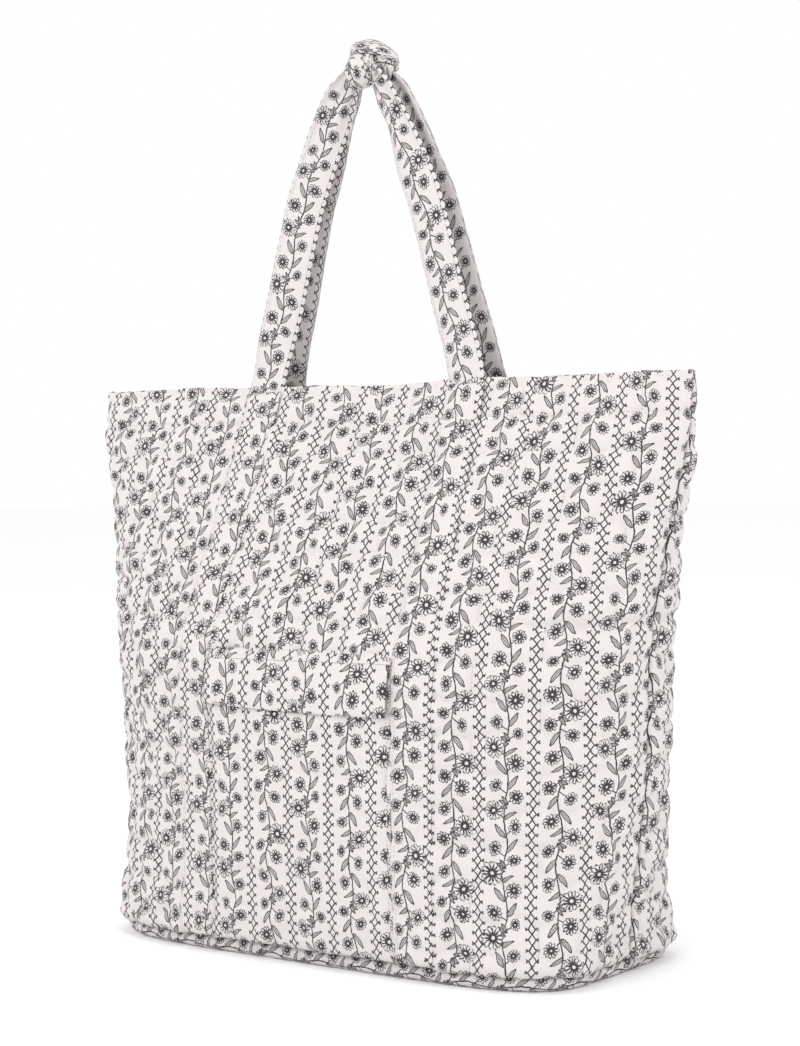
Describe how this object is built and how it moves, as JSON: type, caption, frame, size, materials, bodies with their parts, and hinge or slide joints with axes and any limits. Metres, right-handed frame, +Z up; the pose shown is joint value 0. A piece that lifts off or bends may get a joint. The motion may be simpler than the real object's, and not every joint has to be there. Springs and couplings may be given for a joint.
{
  "type": "knitting bag",
  "caption": "Large soft quilted tote for knitting, botanical print, wide flat mouth, boxed base, front patch pocket with a flap, and two cloth handles tied together in a knot",
  "frame": {"origin": "middle of the base, on the surface the bag stands on", "axes": "+Z up, front with the pocket faces -Y, the wide mouth runs along X"},
  "size_m": [0.584, 0.224, 0.706],
  "materials": {
    "printed_cloth": "matte cotton with a small dark grey floral print, quilted",
    "strap_cloth": "matte printed cotton, folded and stitched flat",
    "lining_cloth": "plain matte off-white cotton",
    "wadding": "soft white fibre filling"
  },
  "bodies": {
    "bag": {"front_panel": "printed_cloth", "front_left_panel": "printed_cloth", "front_right_panel": "printed_cloth", "back_panel": "printed_cloth", "back_left_panel": "printed_cloth", "back_right_panel": "printed_cloth", "base_panel": "printed_cloth", "front_wadding": "wadding", "back_wadding": "wadding", "base_wadding": "wadding", "front_lining": "lining_cloth", "back_lining": "lining_cloth", "base_lining": "lining_cloth", "rim_facing_front": "printed_cloth", "rim_facing_back": "printed_cloth", "front_band_left": "strap_cloth", "front_band_right": "strap_cloth", "back_band_left": "strap_cloth", "back_band_right": "strap_cloth", "pocket_panel": "printed_cloth", "pocket_lining": "lining_cloth", "flap_seam": "printed_cloth", "front_handle_end_left": "strap_cloth", "front_handle_end_right": "strap_cloth", "back_handle_end_left": "strap_cloth", "back_handle_end_right": "strap_cloth"},
    "flap": {"pocket_flap": "printed_cloth", "pocket_flap_lining": "lining_cloth"},
    "handles": {"front_handle_left": "strap_cloth", "front_handle_right": "strap_cloth", "back_handle_left": "strap_cloth", "back_handle_right": "strap_cloth", "handle_knot": "strap_cloth", "knot_wrap": "strap_cloth"}
  },
  "joints": [
    {"name": "flap_fold", "type": "hinge", "parent": "bag", "child": "flap", "pos_m": [0, -0.11445, 0.2317], "axis": [-1, 0, 0], "range_deg": [0, 150]},
    {"name": "handle_swing", "type": "hinge", "parent": "bag", "child": "handles", "pos_m": [0, 0, 0.44], "axis": [1, 0, 0], "range_deg": [-105, 105]}
  ]
}
